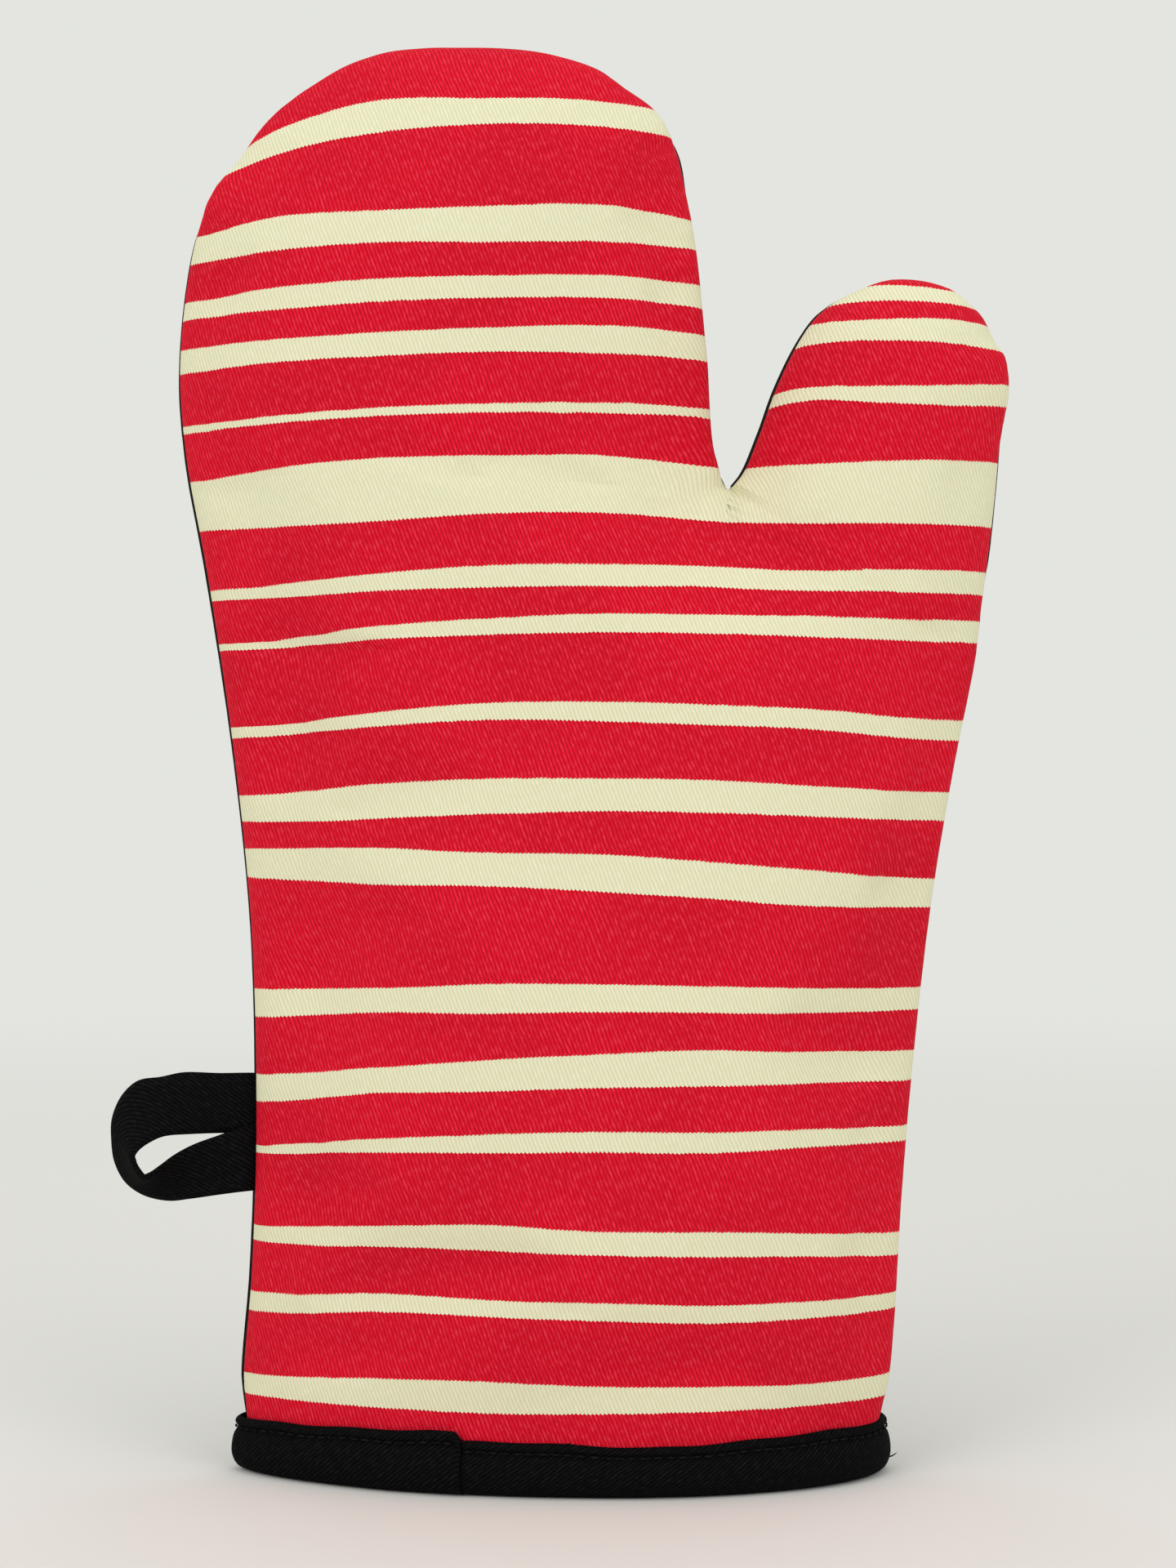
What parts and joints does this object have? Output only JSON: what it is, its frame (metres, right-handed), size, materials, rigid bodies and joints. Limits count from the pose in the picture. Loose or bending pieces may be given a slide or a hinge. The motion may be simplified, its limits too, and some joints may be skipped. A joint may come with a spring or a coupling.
{
  "type": "oven mitt",
  "caption": "Padded oven mitt with a printed front, a plain back, a lined hand pocket with a separate thumb, a bound cuff and a hanging loop.",
  "frame": {"origin": "on the surface the cuff stands on, below the middle of the bounding box", "axes": "+Z from the cuff to the fingertips, +X towards the thumb side, -Y out of the printed front face"},
  "size_m": [0.2024, 0.0626, 0.3192],
  "materials": {
    "printed_twill": "cotton twill, red with cream stripes",
    "black_twill": "plain black cotton twill",
    "wadding": "white polyester wadding",
    "lining": "dark plain-weave cotton",
    "binding_tape": "black cotton twill tape",
    "loop_tape": "black cotton twill tape",
    "thread": "black polyester sewing thread"
  },
  "bodies": {
    "palm": {"front_shell_palm": "printed_twill", "back_shell_palm": "black_twill", "front_wadding_palm": "wadding", "back_wadding_palm": "wadding", "front_lining_palm": "lining", "back_lining_palm": "lining", "cuff_binding": "binding_tape", "cuff_topstitch": "thread", "cuff_understitch": "thread", "loop_tail_upper": "loop_tape", "loop_tail_lower": "loop_tape", "side_seam_thread_left": "thread", "side_seam_thread_crotch": "thread", "side_seam_thread_right": "thread", "lining_seam_thread_left": "thread", "lining_seam_thread_crotch": "thread", "lining_seam_thread_right": "thread"},
    "fingers": {"front_shell_fingers": "printed_twill", "back_shell_fingers": "black_twill", "front_wadding_fingers": "wadding", "back_wadding_fingers": "wadding", "front_lining_fingers": "lining", "back_lining_fingers": "lining", "side_seam_thread_fingers": "thread", "lining_seam_thread_fingers": "thread"},
    "thumb": {"front_shell_thumb": "printed_twill", "back_shell_thumb": "black_twill", "front_wadding_thumb": "wadding", "back_wadding_thumb": "wadding", "front_lining_thumb": "lining", "back_lining_thumb": "lining", "side_seam_thread_thumb": "thread", "lining_seam_thread_thumb": "thread"},
    "loop": {"hanging_loop": "loop_tape", "loop_edge_stitching": "thread"}
  },
  "joints": [
    {"name": "finger_fold", "type": "hinge", "parent": "palm", "child": "fingers", "pos_m": [0, 0.015, 0.258], "axis": [-1, 0, 0], "range_deg": [0, 50], "stiffness_Nm_per_rad": 0.02},
    {"name": "thumb_fold", "type": "hinge", "parent": "palm", "child": "thumb", "pos_m": [0.0482, 0.012, 0.2351], "axis": [-0.8173, 0, 0.5762], "range_deg": [0, 40], "stiffness_Nm_per_rad": 0.01},
    {"name": "loop_swing", "type": "hinge", "parent": "palm", "child": "loop", "pos_m": [-0.0706, 0, 0.0755], "axis": [0, 0, 1], "range_deg": [-80, 80]}
  ]
}
